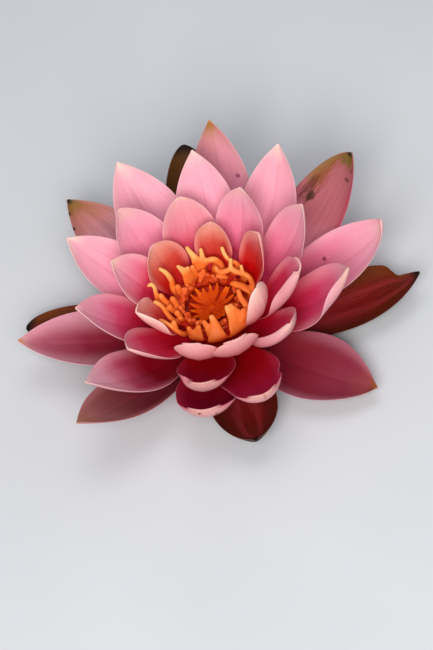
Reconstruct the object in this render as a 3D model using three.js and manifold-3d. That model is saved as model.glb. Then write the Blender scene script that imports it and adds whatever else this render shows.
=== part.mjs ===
// A hardy water lily flower, picked and cut flush below the head.
// It stands on the cut end of its stem, with the axis of the flower along +Z.
// The origin is at the centre of the cut face. Lengths are millimetres, angles are degrees.
// Azimuth 0 points along +X and 90 along +Y.
import * as THREE from "three";
import { mergeVertices } from "three/addons/utils/BufferGeometryUtils.js";
import Module from "manifold-3d";

// Driving dimensions
const CLEARANCE = 0.3; // air kept between pieces that seat on each other
const STEM_RADIUS = 6; // cut stem under the head
const RIM_RADIUS = 12.6; // widest part of the receptacle, just under the stamens
const RIM_HEIGHT = 25;
const AIR_CANALS = 6;
const AIR_CANAL_RADIUS = 1;
const AIR_CANAL_CIRCLE = 3.6;
const AIR_CANAL_DEPTH = 3;

// Where the stamen collars and the stigma seat on top of the receptacle
const OUTER_COLLAR = { inner: 11.3, outer: 12.6, bottom: 21.8, top: 23.4 };
const INNER_COLLAR = { inner: 9.7, outer: 11, bottom: 22.6, top: 24.2 };
const STIGMA_RADIUS = 9.2;
const STIGMA_BOTTOM = 23.4;

// Insertion heights of the whorls on the side of the receptacle, from the cut end up
const SEPAL_HEIGHT = 5;
const OUTER_HEIGHT = 7.8;
const SECOND_HEIGHT = 10.6;
const MIDDLE_HEIGHT = 13.6;
const INNER_HEIGHT = 17;
const INNERMOST_HEIGHT = 20.3;

const TURNED_SIDES = 28;

// Blade grid and thickness
const STEPS_ALONG = 8;
const STEPS_ACROSS = 6;
const THICKNESS_FOOT = 1.3;
const THICKNESS_TIP = 0.9;
const MARGIN_THINNING = 0.3;
const TIP_HALF_WIDTH = 0.5;

// Each blade: azimuth, length along the midrib, width, and how steeply the midrib rises
// at the foot and at the tip. Sway turns the midrib sideways towards the tip. Curl bends
// the last quarter up. A fold rolls the margin on the side of falling azimuth in over the
// inner face. Lift raises the foot, so that neighbours in a whorl overlap like tiles.
const SEPALS = [
  { name: "sepal_back", azimuth: 84, length: 73, width: 26, rise: [-8, 30], blunt: true },
  { name: "sepal_right", azimuth: -10, length: 72, width: 29, rise: [-10, 21], sway: 14, blunt: true },
  { name: "sepal_front", azimuth: -92, length: 60, width: 26, rise: [-6, 30], blunt: true },
  { name: "sepal_left", azimuth: 160, length: 68, width: 26, rise: [-12, 16], blunt: true },
];
const OUTER_PETALS = [
  { azimuth: 120, length: 75, width: 28, rise: [-4, 22] },
  { azimuth: 32, length: 75, width: 28, rise: [-2, 45] },
  { azimuth: -50, length: 62, width: 32, rise: [-8, 4], sway: 14 },
  { azimuth: -145, length: 70, width: 29, rise: [0, 42] },
];
const SECOND_PETALS = [
  { azimuth: 69, length: 75, width: 26, rise: [-6, 74], sway: 12 },
  { azimuth: 3, length: 70, width: 29, rise: [0, 42], curl: 20 },
  { azimuth: -104, length: 64, width: 28, rise: [-4, 54], curl: 50 },
  { azimuth: 172, length: 67, width: 28, rise: [-8, 26] },
];
const MIDDLE_PETALS = [
  { azimuth: 41, length: 65, width: 26, rise: [8, 68], sway: 7, lift: -1.2 },
  { azimuth: 74, length: 57, width: 24, rise: [26, 60], sway: 14, lift: 0.8 },
  { azimuth: 104, length: 64, width: 28, rise: [4, 56], sway: 4, lift: -1.3 },
  { azimuth: 142, length: 56, width: 25, rise: [11, 55], lift: -0.2 },
  { azimuth: 179, length: 51, width: 25, rise: [14, 66], lift: 0.6 },
  { azimuth: -148, length: 60, width: 27, rise: [-3, 54], lift: -1 },
  { azimuth: -78, length: 61, width: 26, rise: [4, 40], curl: 50 },
  { azimuth: -20, length: 60, width: 27, rise: [2, 66], curl: 10, foldRight: 50, lift: -0.8 },
];
const INNER_PETALS = [
  { azimuth: 13, length: 52, width: 24, rise: [15, 77], sway: 4, lift: -1 },
  { azimuth: 48, length: 46, width: 23, rise: [28, 86], sway: 6, lift: -0.4 },
  { azimuth: 90, length: 39, width: 24, rise: [40, 66], lift: 0.6 },
  { azimuth: 122, length: 48, width: 25, rise: [14, 72], lift: -1 },
  { azimuth: 150, length: 38, width: 22, rise: [29, 65], lift: 0.8 },
  { azimuth: -150, length: 36, width: 23, rise: [13, 62], lift: 0.5 },
  { azimuth: -107, length: 45, width: 24, rise: [0, 44], curl: 65 },
  { azimuth: -46, length: 43, width: 22, rise: [6, 68], curl: 20, foldRight: 50 },
  { azimuth: -12, length: 44, width: 21, rise: [26, 73], foldRight: 60, lift: 0.8 },
];
const INNERMOST_PETALS = [
  { azimuth: 69, length: 27, width: 13, rise: [46, 84], blunt: true },
  { azimuth: 18, length: 31, width: 17, rise: [42, 86], blunt: true },
  { azimuth: 126, length: 27, width: 20, rise: [40, 78], blunt: true },
  { azimuth: -175, length: 25, width: 16, rise: [30, 68], blunt: true },
  { azimuth: -113, length: 36, width: 18, rise: [4, 100], blunt: true },
  { azimuth: -77, length: 37, width: 16, rise: [8, 92], blunt: true },
  { azimuth: -39, length: 32, width: 16, rise: [30, 102], blunt: true },
];

// Blade proportions shared by sepals and petals
const BELLY = 0.56; // widest point, as a share of the length
const FOOT_SHARE = 0.26; // width of the foot, as a share of the full width
const FOOT_TAPER = 1.3;
const POINTED = 0.9; // how the outline closes to the tip
const BLUNT = 0.62;
const CUP = 35; // how far a margin has turned up from the middle of the blade
const CUP_AT_FOOT = 0.6; // share of the cup at the foot
const CUP_FULL = 0.4; // share of the length from which the cup is full
const FOLD_LINE = 0.45; // share of the half width from which a fold turns
const FOLD_FULL = 0.35; // share of the length from which a fold is full
const CURL_LINE = 0.72; // share of the length from which the tip curls

// Outer stamens: straps that each end in a pair of horns, broader at the front
const PETALOID_STAMENS = 20;
const PETALOID_LENGTH = 15;
const PETALOID_RISE = 70;
const BROAD_STAMENS = { from: -105, to: -25, halfWidth: 3.4 };
const NARROW_HALF_WIDTH = 1.7;
const STRAP_SHARES = [0.9, 1, 0.8]; // half widths above the neck
const STRAP_HALF_THICKNESS = 0.5;
const STRAP_VARIETY = { azimuth: 3, width: 0.15, length: 0.15, rise: 6, bend: 8 };
const HORN_BELOW = 1.5; // how far under the end of the strap a horn starts
const HORN_VARIETY = { out: 0.5, up: 0.25 };
const HORN = [
  { out: 0, up: 0, halfWide: 0.9, halfThick: 0.5 },
  { out: 0.7, up: 3.2, halfWide: 0.7, halfThick: 0.5 },
  { out: 0.8, up: 2.2, halfWide: 0.45, halfThick: 0.4 },
];
const ROOTED = 0.9; // how deep a filament reaches into its collar

// Inner stamens: two rows that bend in over the stigma
const ANTHER_ROWS = [
  { count: 22, radius: 10.6, length: 9, rise: 83, lean: 24 },
  { count: 16, radius: 10.3, length: 6, rise: 87, lean: 30 },
];
const ANTHER_HALF_WIDTHS = [0.55, 0.6, 1, 0.6];
const ANTHER_FLATNESS = 0.8;
const ANTHER_VARIETY = { azimuth: 3, length: 0.12 };

// Stigma: a shallow dish with raised rays round a knob
const STIGMA_RAYS = 14;
const STIGMA_DISH = { middle: 24.3, rim: 25.9 };
const RAY = [
  { radius: 0.8, lift: 0, halfWide: 0.3 },
  { radius: 4, lift: 0.1, halfWide: 0.7 },
  { radius: 6.8, lift: 0.3, halfWide: 0.9 },
  { radius: 8.4, lift: 1.1, halfWide: 0.4 },
];
const RAY_HALF_THICKNESS = 0.5;
const KNOB_RADIUS = 1.2;

const wasm = await Module();
wasm.setup();

const radians = THREE.MathUtils.degToRad;
const ease = (share) => THREE.MathUtils.smoothstep(share, 0, 1);

// Repeatable jitter between -1 and 1 from a seed.
function makeJitter(seed) {
  let state = seed;
  return () => {
    state = (state * 1664525 + 1013904223) % 4294967296;
    return (state / 4294967296) * 2 - 1;
  };
}

// A solid that can be cut and joined, from a closed three.js geometry.
function solidFrom(geometry) {
  const bare = geometry.clone();
  bare.deleteAttribute("normal");
  bare.deleteAttribute("uv");
  const merged = mergeVertices(bare, 1e-4);
  const vertProperties = new Float32Array(merged.getAttribute("position").array);
  const triVerts = new Uint32Array(merged.index.array);
  return new wasm.Manifold(new wasm.Mesh({ numProp: 3, vertProperties, triVerts }));
}

function geometryFrom(points, triangles) {
  const geometry = new THREE.BufferGeometry().setFromPoints(points);
  geometry.setIndex(triangles.flat());
  return geometry;
}

function joinAll(solids) {
  return solids.reduce((whole, piece) => whole.add(piece));
}

function meshFrom(name, solid, look) {
  const { vertProperties, triVerts } = solid.getMesh();
  const geometry = new THREE.BufferGeometry();
  geometry.setAttribute("position", new THREE.BufferAttribute(vertProperties, 3));
  geometry.setIndex(new THREE.BufferAttribute(triVerts, 1));
  geometry.computeVertexNormals();
  const mesh = new THREE.Mesh(geometry, new THREE.MeshStandardMaterial({ ...look, metalness: 0 }));
  mesh.name = name;
  return mesh;
}

// ---- Receptacle: a solid goblet that swells from the stem to the stamens.

function receptacleRadius(height) {
  return STEM_RADIUS + (RIM_RADIUS - STEM_RADIUS) * Math.sin((Math.PI / 2) * (height / RIM_HEIGHT));
}

function receptacleSide(top) {
  const steps = 7;
  const heights = Array.from({ length: steps + 1 }, (_, step) => (top * step) / steps);
  return heights.map((height) => new THREE.Vector2(receptacleRadius(height), height));
}

function turned(outline) {
  return solidFrom(new THREE.LatheGeometry(outline, TURNED_SIDES).rotateX(Math.PI / 2));
}

function receptacle() {
  const shoulder = OUTER_COLLAR.bottom - CLEARANCE;
  const ledge = INNER_COLLAR.bottom - CLEARANCE;
  const crown = STIGMA_BOTTOM - CLEARANCE;
  const outline = [
    new THREE.Vector2(0, 0),
    ...receptacleSide(shoulder),
    new THREE.Vector2(OUTER_COLLAR.inner - CLEARANCE, shoulder),
    new THREE.Vector2(OUTER_COLLAR.inner - CLEARANCE, ledge),
    new THREE.Vector2(INNER_COLLAR.inner - CLEARANCE, ledge),
    new THREE.Vector2(INNER_COLLAR.inner - CLEARANCE, crown),
    new THREE.Vector2(0, crown),
  ];
  let solid = turned(outline);
  for (let canal = 0; canal < AIR_CANALS; canal += 1) {
    const angle = (canal / AIR_CANALS) * 2 * Math.PI;
    const bore = new THREE.CylinderGeometry(AIR_CANAL_RADIUS, AIR_CANAL_RADIUS, 2 * AIR_CANAL_DEPTH, 8);
    bore.rotateX(Math.PI / 2);
    bore.translate(AIR_CANAL_CIRCLE * Math.cos(angle), AIR_CANAL_CIRCLE * Math.sin(angle), 0);
    solid = solid.subtract(solidFrom(bore));
  }
  return solid;
}

// ---- Blades: sepals and petals.

function halfWidth(blade, along) {
  const sharpness = blade.blunt ? BLUNT : POINTED;
  const share =
    along < BELLY
      ? FOOT_SHARE + (1 - FOOT_SHARE) * Math.sin((Math.PI / 2) * (along / BELLY)) ** FOOT_TAPER
      : (1 - ((along - BELLY) / (1 - BELLY)) ** 2) ** sharpness;
  return Math.max((blade.width / 2) * share, TIP_HALF_WIDTH);
}

// Places across one half of a blade's section, from the midrib to the margin, with the
// angle that the face has turned up to there. Distances are shares of the half width.
function halfSection(cup, fold) {
  const finer = 8;
  const count = (STEPS_ACROSS / 2) * finer;
  const turnedAt = (across) => cup * across + fold * ease((across - FOLD_LINE) / (1 - FOLD_LINE));
  const places = [{ x: 0, y: 0, angle: 0 }];
  let x = 0;
  let y = 0;
  for (let step = 1; step <= count; step += 1) {
    const angle = turnedAt((step - 0.5) / count);
    x += Math.cos(angle) / count;
    y += Math.sin(angle) / count;
    if (step % finer === 0) {
      places.push({ x, y, angle: turnedAt(step / count) });
    }
  }
  return places;
}

// The midrib rises from the foot to the tip by its own angles and may sway sideways.
function midribDirection(blade, along) {
  const climb = blade.rise[0] + (blade.rise[1] - blade.rise[0]) * along;
  const curled = (blade.curl ?? 0) * ease((along - CURL_LINE) / (1 - CURL_LINE));
  const rise = radians(climb + curled);
  const azimuth = radians(blade.azimuth + (blade.sway ?? 0) * along);
  return {
    forward: new THREE.Vector3(
      Math.cos(rise) * Math.cos(azimuth),
      Math.cos(rise) * Math.sin(azimuth),
      Math.sin(rise),
    ),
    left: new THREE.Vector3(-Math.sin(azimuth), Math.cos(azimuth), 0),
  };
}

// Slides a point of a blade's foot along the blade until it seats on the receptacle.
function seat(point, forward) {
  const level = Math.hypot(forward.x, forward.y);
  for (let pass = 0; pass < 6; pass += 1) {
    const gap = Math.hypot(point.x, point.y) - receptacleRadius(point.z) - CLEARANCE;
    point.addScaledVector(forward, -gap / level);
  }
}

// One row across a blade, as a pair of points on the inner and the outer face a column.
function bladeRow(blade, place, along) {
  const { forward, left } = midribDirection(blade, along);
  const up = forward.clone().cross(left);
  const cup = radians(CUP) * (CUP_AT_FOOT + (1 - CUP_AT_FOOT) * ease(along / CUP_FULL));
  const fold = radians(blade.foldRight ?? 0) * ease(along / FOLD_FULL);
  const leftHalf = halfSection(cup, 0);
  const rightHalf = halfSection(cup, fold);
  const reach = halfWidth(blade, along);
  const middle = THICKNESS_FOOT + (THICKNESS_TIP - THICKNESS_FOOT) * along;
  const row = [];
  for (let column = -STEPS_ACROSS / 2; column <= STEPS_ACROSS / 2; column += 1) {
    const side = Math.sign(column);
    const { x, y, angle } = (side < 0 ? rightHalf : leftHalf)[Math.abs(column)];
    const across = Math.abs(column) / (STEPS_ACROSS / 2);
    const thickness = middle * (1 - MARGIN_THINNING * across ** 2);
    const face = place.clone().addScaledVector(left, side * x * reach).addScaledVector(up, y * reach);
    const back = face
      .clone()
      .addScaledVector(up, -thickness * Math.cos(angle))
      .addScaledVector(left, thickness * side * Math.sin(angle));
    if (along === 0) {
      seat(face, forward);
      seat(back, forward);
    }
    row.push({ face, back });
  }
  return row;
}

function bladeSolid(blade, height) {
  const azimuth = radians(blade.azimuth);
  const radius = receptacleRadius(height) + CLEARANCE;
  const place = new THREE.Vector3(radius * Math.cos(azimuth), radius * Math.sin(azimuth), height);
  const grid = [bladeRow(blade, place, 0)];
  for (let row = 1; row <= STEPS_ALONG; row += 1) {
    const { forward } = midribDirection(blade, (row - 0.5) / STEPS_ALONG);
    place.addScaledVector(forward, blade.length / STEPS_ALONG);
    grid.push(bladeRow(blade, place, row / STEPS_ALONG));
  }
  const points = [...grid.flat().map(({ face }) => face), ...grid.flat().map(({ back }) => back)];
  return solidFrom(geometryFrom(points, bladeTriangles()));
}

// Both faces are split into triangles alike, and the four margins close the blade.
function bladeTriangles() {
  const columns = STEPS_ACROSS + 1;
  const behind = (STEPS_ALONG + 1) * columns;
  const triangles = [];
  const addQuad = (a, b, c, d) => triangles.push([a, b, c], [a, c, d]);
  for (let row = 0; row < STEPS_ALONG; row += 1) {
    for (let column = 0; column < STEPS_ACROSS; column += 1) {
      const corner = row * columns + column;
      const [a, b, c, d] = [corner, corner + columns, corner + columns + 1, corner + 1];
      addQuad(a, b, c, d);
      addQuad(a + behind, d + behind, c + behind, b + behind);
    }
    const right = row * columns;
    const left = right + STEPS_ACROSS;
    addQuad(left, left + columns, left + columns + behind, left + behind);
    addQuad(right + columns, right, right + behind, right + columns + behind);
  }
  const end = STEPS_ALONG * columns;
  for (let column = 0; column < STEPS_ACROSS; column += 1) {
    addQuad(column, column + 1, column + 1 + behind, column + behind);
    addQuad(end + column + 1, end + column, end + column + behind, end + column + 1 + behind);
  }
  return triangles;
}

// ---- Limbs: tapered rods for stamens, anthers and stigma rays.

// Each station has a place, a half width and a half thickness. The half width runs along
// wide, and the section is a rectangle.
function limb(stations, wide) {
  const sides = 4;
  const points = [];
  stations.forEach(({ place, halfWide, halfThick }, index) => {
    const before = stations[Math.max(0, index - 1)].place;
    const after = stations[Math.min(stations.length - 1, index + 1)].place;
    const forward = after.clone().sub(before).normalize();
    const across = wide.clone().addScaledVector(forward, -wide.dot(forward)).normalize();
    const thick = forward.clone().cross(across);
    for (let side = 0; side < sides; side += 1) {
      const turn = ((side + 0.5) / sides) * 2 * Math.PI;
      points.push(
        place
          .clone()
          .addScaledVector(across, Math.SQRT2 * halfWide * Math.cos(turn))
          .addScaledVector(thick, Math.SQRT2 * halfThick * Math.sin(turn)),
      );
    }
  });
  const triangles = [];
  const rings = stations.length;
  for (let ring = 0; ring < rings - 1; ring += 1) {
    for (let side = 0; side < sides; side += 1) {
      const next = (side + 1) % sides;
      const a = ring * sides + side;
      const b = ring * sides + next;
      triangles.push([a, b, b + sides], [a, b + sides, a + sides]);
    }
  }
  const top = (rings - 1) * sides;
  for (let side = 1; side < sides - 1; side += 1) {
    triangles.push([0, side + 1, side], [top, top + side, top + side + 1]);
  }
  return solidFrom(geometryFrom(points, triangles));
}

// A ring that the filaments grow from, seated on a ledge of the receptacle.
function collar({ inner, outer, bottom, top }) {
  const outline = [
    new THREE.Vector2(inner, bottom),
    new THREE.Vector2(outer, bottom),
    new THREE.Vector2(outer, top),
    new THREE.Vector2(inner, top),
    new THREE.Vector2(inner, bottom),
  ];
  return turned(outline);
}

function outwardAt(azimuth) {
  return new THREE.Vector3(Math.cos(radians(azimuth)), Math.sin(radians(azimuth)), 0);
}

function acrossAt(azimuth) {
  return new THREE.Vector3(-Math.sin(radians(azimuth)), Math.cos(radians(azimuth)), 0);
}

// Places along a filament that starts at a radius and height and bends as it climbs.
function filament(azimuth, { radius, height, length, rise, bend }) {
  const steps = 3;
  const outward = outwardAt(azimuth);
  const place = outward.clone().multiplyScalar(radius).setZ(height);
  const places = [place.clone()];
  for (let step = 0; step < steps; step += 1) {
    const angle = radians(rise + bend * ((step + 0.5) / steps));
    place.addScaledVector(outward, (Math.cos(angle) * length) / steps);
    place.z += (Math.sin(angle) * length) / steps;
    places.push(place.clone());
  }
  return places;
}

function petaloidStamens() {
  const jitter = makeJitter(7);
  const pieces = [collar(OUTER_COLLAR)];
  for (let index = 0; index < PETALOID_STAMENS; index += 1) {
    const even = -180 + ((index + 0.5) / PETALOID_STAMENS) * 360;
    const azimuth = even + STRAP_VARIETY.azimuth * jitter();
    const broad = azimuth > BROAD_STAMENS.from && azimuth < BROAD_STAMENS.to;
    const usual = broad ? BROAD_STAMENS.halfWidth : NARROW_HALF_WIDTH;
    const halfWide = usual * (1 + STRAP_VARIETY.width * jitter());
    const places = filament(azimuth, {
      radius: (OUTER_COLLAR.inner + OUTER_COLLAR.outer) / 2,
      height: OUTER_COLLAR.top - ROOTED,
      length: PETALOID_LENGTH * (1 + STRAP_VARIETY.length * jitter()),
      rise: PETALOID_RISE + STRAP_VARIETY.rise * jitter(),
      bend: STRAP_VARIETY.bend * jitter(),
    });
    const halves = [1, ...STRAP_SHARES.map((share) => share * halfWide)];
    const strap = places.map((place, step) => ({
      place,
      halfWide: halves[step],
      halfThick: STRAP_HALF_THICKNESS,
    }));
    const across = acrossAt(azimuth);
    pieces.push(limb(strap, across));
    const end = places[places.length - 1];
    for (const side of [-1, 1]) {
      const place = end.clone().addScaledVector(across, side * 0.5 * halfWide);
      place.z -= HORN_BELOW;
      const horn = HORN.map(({ out, up, ...halfSizes }) => {
        place.addScaledVector(across, side * out * (1 + HORN_VARIETY.out * jitter()));
        place.z += up * (1 + HORN_VARIETY.up * jitter());
        return { place: place.clone(), ...halfSizes };
      });
      pieces.push(limb(horn, across));
    }
  }
  return joinAll(pieces);
}

function anthers() {
  const jitter = makeJitter(21);
  const pieces = [collar(INNER_COLLAR)];
  for (const { count, radius, length, rise, lean } of ANTHER_ROWS) {
    for (let index = 0; index < count; index += 1) {
      const azimuth = ((index + 0.5) / count) * 360 + ANTHER_VARIETY.azimuth * jitter();
      const places = filament(azimuth, {
        radius,
        height: INNER_COLLAR.top - ROOTED,
        length: length * (1 + ANTHER_VARIETY.length * jitter()),
        rise,
        bend: lean,
      });
      const stations = places.map((place, step) => ({
        place,
        halfWide: ANTHER_HALF_WIDTHS[step],
        halfThick: ANTHER_FLATNESS * ANTHER_HALF_WIDTHS[step],
      }));
      pieces.push(limb(stations, acrossAt(azimuth)));
    }
  }
  return joinAll(pieces);
}

function dishHeight(radius) {
  const { middle, rim } = STIGMA_DISH;
  return middle + (rim - middle) * (radius / STIGMA_RADIUS) ** 2;
}

function stigma() {
  const rings = [1, 0.6, 0].map((share) => share * STIGMA_RADIUS);
  const outline = [
    new THREE.Vector2(0, STIGMA_BOTTOM),
    new THREE.Vector2(STIGMA_RADIUS, STIGMA_BOTTOM),
    ...rings.map((radius) => new THREE.Vector2(radius, dishHeight(radius))),
  ];
  const pieces = [turned(outline)];
  for (let ray = 0; ray < STIGMA_RAYS; ray += 1) {
    const azimuth = (ray / STIGMA_RAYS) * 360;
    const stations = RAY.map(({ radius, lift, halfWide }) => ({
      place: outwardAt(azimuth).multiplyScalar(radius).setZ(dishHeight(radius) + lift),
      halfWide,
      halfThick: RAY_HALF_THICKNESS,
    }));
    pieces.push(limb(stations, acrossAt(azimuth)));
  }
  const knob = new THREE.SphereGeometry(KNOB_RADIUS, 8, 6);
  knob.translate(0, 0, STIGMA_DISH.middle + KNOB_RADIUS / 2);
  pieces.push(solidFrom(knob));
  return joinAll(pieces);
}

// ---- The flower

const LOOKS = {
  receptacle: { color: 0x8a5a4c, roughness: 0.6 },
  sepal: { color: 0x5a2a1e, roughness: 0.5 },
  outer: { color: 0xe3a2bc, roughness: 0.45 },
  inner: { color: 0xe08098, roughness: 0.45 },
  coral: { color: 0xdc6058, roughness: 0.45 },
  stamen: { color: 0xf08a2a, roughness: 0.5 },
  anther: { color: 0xe0701c, roughness: 0.5 },
  stigma: { color: 0xb04812, roughness: 0.45 },
};

const flower = new THREE.Group();
flower.add(meshFrom("receptacle", receptacle(), LOOKS.receptacle));

function addWhorl(blades, height, look, prefix) {
  blades.forEach((blade, index) => {
    const solid = bladeSolid(blade, height + (blade.lift ?? 0));
    flower.add(meshFrom(blade.name ?? `${prefix}_${index + 1}`, solid, look));
  });
}

addWhorl(SEPALS, SEPAL_HEIGHT, LOOKS.sepal, "sepal");
addWhorl(OUTER_PETALS, OUTER_HEIGHT, LOOKS.outer, "outer_petal");
addWhorl(SECOND_PETALS, SECOND_HEIGHT, LOOKS.outer, "second_petal");
addWhorl(MIDDLE_PETALS, MIDDLE_HEIGHT, LOOKS.outer, "middle_petal");
addWhorl(INNER_PETALS, INNER_HEIGHT, LOOKS.inner, "inner_petal");
addWhorl(INNERMOST_PETALS, INNERMOST_HEIGHT, LOOKS.coral, "innermost_petal");
flower.add(meshFrom("petaloid_stamens", petaloidStamens(), LOOKS.stamen));
flower.add(meshFrom("anthers", anthers(), LOOKS.anther));
flower.add(meshFrom("stigma", stigma(), LOOKS.stigma));

export default flower;
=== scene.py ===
# A hardy water lily flower, picked and cut flush under the head, standing on its cut end.
# Shapes are worked out in millimetres and scaled to metres when a mesh is finished.
import random
from math import cos, exp, pi, radians, sin

import bmesh
import bpy
from mathutils import Matrix, Vector


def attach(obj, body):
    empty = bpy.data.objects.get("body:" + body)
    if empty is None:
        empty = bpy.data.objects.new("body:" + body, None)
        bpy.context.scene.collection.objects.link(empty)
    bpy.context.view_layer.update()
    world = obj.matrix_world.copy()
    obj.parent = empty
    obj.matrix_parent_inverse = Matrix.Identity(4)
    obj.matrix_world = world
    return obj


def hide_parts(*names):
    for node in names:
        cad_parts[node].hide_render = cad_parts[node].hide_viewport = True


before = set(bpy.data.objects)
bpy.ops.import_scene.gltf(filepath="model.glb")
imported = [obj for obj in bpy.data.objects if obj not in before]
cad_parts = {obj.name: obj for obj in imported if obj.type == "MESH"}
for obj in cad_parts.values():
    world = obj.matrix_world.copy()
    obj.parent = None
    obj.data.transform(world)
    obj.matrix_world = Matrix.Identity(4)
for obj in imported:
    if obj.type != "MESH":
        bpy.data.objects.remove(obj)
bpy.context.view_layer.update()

# ---- Studio ----------------------------------------------
# A pale floor under the flower, one large soft light low in front of it, a wide weak one
# overhead, and a long lens that looks down into the open flower.

VIEW_ELEVATION = radians(53)
VIEW_ROLL = radians(17)
VIEW_DISTANCE = 2400  # mm
VIEW_HEIGHT = 247  # mm of the flower that the sensor's long side spans
SENSOR_WIDTH = 36
SIGHT_RANGE = 20  # m
AIM_HEIGHT = 4.5
AIM_RIGHT = -1.5
AIM_UP = 3.0

scene = bpy.context.scene
scene.view_settings.view_transform = "Standard"

view_back = Vector((0, -cos(VIEW_ELEVATION), sin(VIEW_ELEVATION)))
level_up = Vector((0, sin(VIEW_ELEVATION), cos(VIEW_ELEVATION)))
view_right = cos(VIEW_ROLL) * Vector((1, 0, 0)) - sin(VIEW_ROLL) * level_up
view_up = view_back.cross(view_right)
aim = Vector((0, 0, AIM_HEIGHT)) + AIM_RIGHT * view_right + AIM_UP * view_up

camera_data = bpy.data.cameras.new("camera")
camera_data.sensor_width = SENSOR_WIDTH
camera_data.lens = SENSOR_WIDTH * VIEW_DISTANCE / VIEW_HEIGHT
camera_data.clip_end = SIGHT_RANGE
camera = bpy.data.objects.new("camera", camera_data)
turn = Matrix((view_right, view_up, view_back)).transposed().to_4x4()
camera.matrix_world = Matrix.Translation((aim + VIEW_DISTANCE * view_back) / 1000) @ turn
scene.collection.objects.link(camera)
scene.camera = camera


def direction(azimuth, elevation):
    """The unit vector that points along two angles in degrees."""
    azimuth, elevation = radians(azimuth), radians(elevation)
    level = cos(elevation)
    return Vector((level * cos(azimuth), level * sin(azimuth), sin(elevation)))


def add_light(name, azimuth, elevation, distance, size, power, colour):
    """A round soft light, in metres and watts, that shines on the flower."""
    data = bpy.data.lights.new(name, "AREA")
    data.shape = "DISK"
    data.size = size
    data.energy = power
    data.color = colour
    light = bpy.data.objects.new(name, data)
    away = direction(azimuth, elevation)
    facing = away.to_track_quat("Z", "Y").to_matrix().to_4x4()
    light.matrix_world = Matrix.Translation(away * distance) @ facing
    scene.collection.objects.link(light)


add_light("front_softbox", -100, 44, distance=1.2, size=0.7, power=13, colour=(1, 0.98, 0.96))
add_light("overhead_softbox", 60, 80, distance=1.4, size=0.9, power=4.5, colour=(0.95, 0.97, 1))

ROOM_COLOUR = (0.9, 0.93, 1, 1)
ROOM_STRENGTH = 0.36

world = bpy.data.worlds.new("room")
world.use_nodes = True
room = world.node_tree.nodes["Background"]
room.inputs["Color"].default_value = ROOM_COLOUR
room.inputs["Strength"].default_value = ROOM_STRENGTH
scene.world = world

FLOOR_SIZE = 3  # m
FLOOR_GREYS = [(0, 0.6, 0.61, 0.63), (1, 0.63, 0.64, 0.66)]

floor_bm = bmesh.new()
bmesh.ops.create_grid(floor_bm, x_segments=1, y_segments=1, size=FLOOR_SIZE / 2)
floor_mesh = bpy.data.meshes.new("floor")
floor_bm.to_mesh(floor_mesh)
floor_bm.free()
floor = bpy.data.objects.new("floor", floor_mesh)
scene.collection.objects.link(floor)


class Shade:
    """A value or colour inside a material, written as a Python expression."""

    def __init__(self, tree, link):
        self.tree = tree
        self.link = link

    def node(self, kind, settings, inputs, out=0):
        """Adds one node: its settings first, then the values or links of its sockets."""
        node = self.tree.nodes.new(kind)
        for name, value in settings.items():
            if name == "stops":
                marks = node.color_ramp.elements
                for number, (place, *colour) in enumerate(value):
                    if number > 1:
                        marks.new(place)
                    marks[number].position = place
                    marks[number].color = (*colour, 1)
            else:
                setattr(node, name, value)
        for name, value in inputs.items():
            if isinstance(value, Shade):
                self.tree.links.new(value.link, node.inputs[name])
            elif isinstance(value, tuple) and len(value) == 3 and len(node.inputs[name].default_value) == 4:
                node.inputs[name].default_value = (*value, 1)
            else:
                node.inputs[name].default_value = value
        return Shade(self.tree, node.outputs[out])

    def math(self, operation, first, second=0.0):
        return self.node("ShaderNodeMath", {"operation": operation}, {0: first, 1: second})

    def __add__(self, other):
        return self.math("ADD", self, other)

    def __sub__(self, other):
        return self.math("SUBTRACT", self, other)

    def __rsub__(self, other):
        return self.math("SUBTRACT", other, self)

    def __mul__(self, other):
        return self.math("MULTIPLY", self, other)

    __radd__ = __add__
    __rmul__ = __mul__

    def __abs__(self):
        return self.math("ABSOLUTE", self)

    def smooth(self, start, end):
        """0 before start and 1 past end, with a soft change between."""
        limits = {"Value": self, "From Min": start, "From Max": end}
        return self.node("ShaderNodeMapRange", {"interpolation_type": "SMOOTHSTEP"}, limits)

    def mixed(self, other, mask):
        """This colour, turned into another where the mask is 1."""
        return self.node("ShaderNodeMix", {"data_type": "RGBA"}, {0: mask, 6: self, 7: other}, 2)

    def tinted(self, other, mask):
        """This colour, multiplied by another where the mask is 1."""
        settings = {"data_type": "RGBA", "blend_type": "MULTIPLY"}
        return self.node("ShaderNodeMix", settings, {0: mask, 6: self, 7: other}, 2)

    def ramp(self, stops):
        """The colour that stops of (value, red, green, blue) give this value."""
        return self.node("ShaderNodeValToRGB", {"stops": stops}, {"Fac": self})

    def noise(self, scale, detail=2.0, roughness=0.5):
        """A smooth random value round 0.5 at this place."""
        sizes = {"Vector": self, "Scale": scale, "Detail": detail, "Roughness": roughness}
        return self.node("ShaderNodeTexNoise", {}, sizes)

    def place(self):
        """Where a point lies on its object, in metres."""
        return self.node("ShaderNodeTexCoord", {}, {}, "Object")

    def axis(self, number):
        return self.node("ShaderNodeSeparateXYZ", {}, {0: self}, number)

    def vector(self, x, y, z):
        return self.node("ShaderNodeCombineXYZ", {}, {0: x, 1: y, 2: z})


WAX_DEPTH = 0.002  # m that light travels inside a waxy skin


def new_material(name, gloss=0.5, roughness=0.5, wax=0.0):
    """A material, its shader, and an expression to start its patterns from."""
    material = bpy.data.materials.new(name)
    material.use_nodes = True
    shader = material.node_tree.nodes["Principled BSDF"]
    shader.inputs["Specular IOR Level"].default_value = gloss
    shader.inputs["Roughness"].default_value = roughness
    shader.inputs["Subsurface Weight"].default_value = wax
    shader.inputs["Subsurface Scale"].default_value = WAX_DEPTH
    return material, shader, Shade(material.node_tree, None)


def feed(shader, socket, shade):
    """Links a value or colour to one socket of a shader."""
    shade.tree.links.new(shade.link, shader.inputs[socket])


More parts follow.
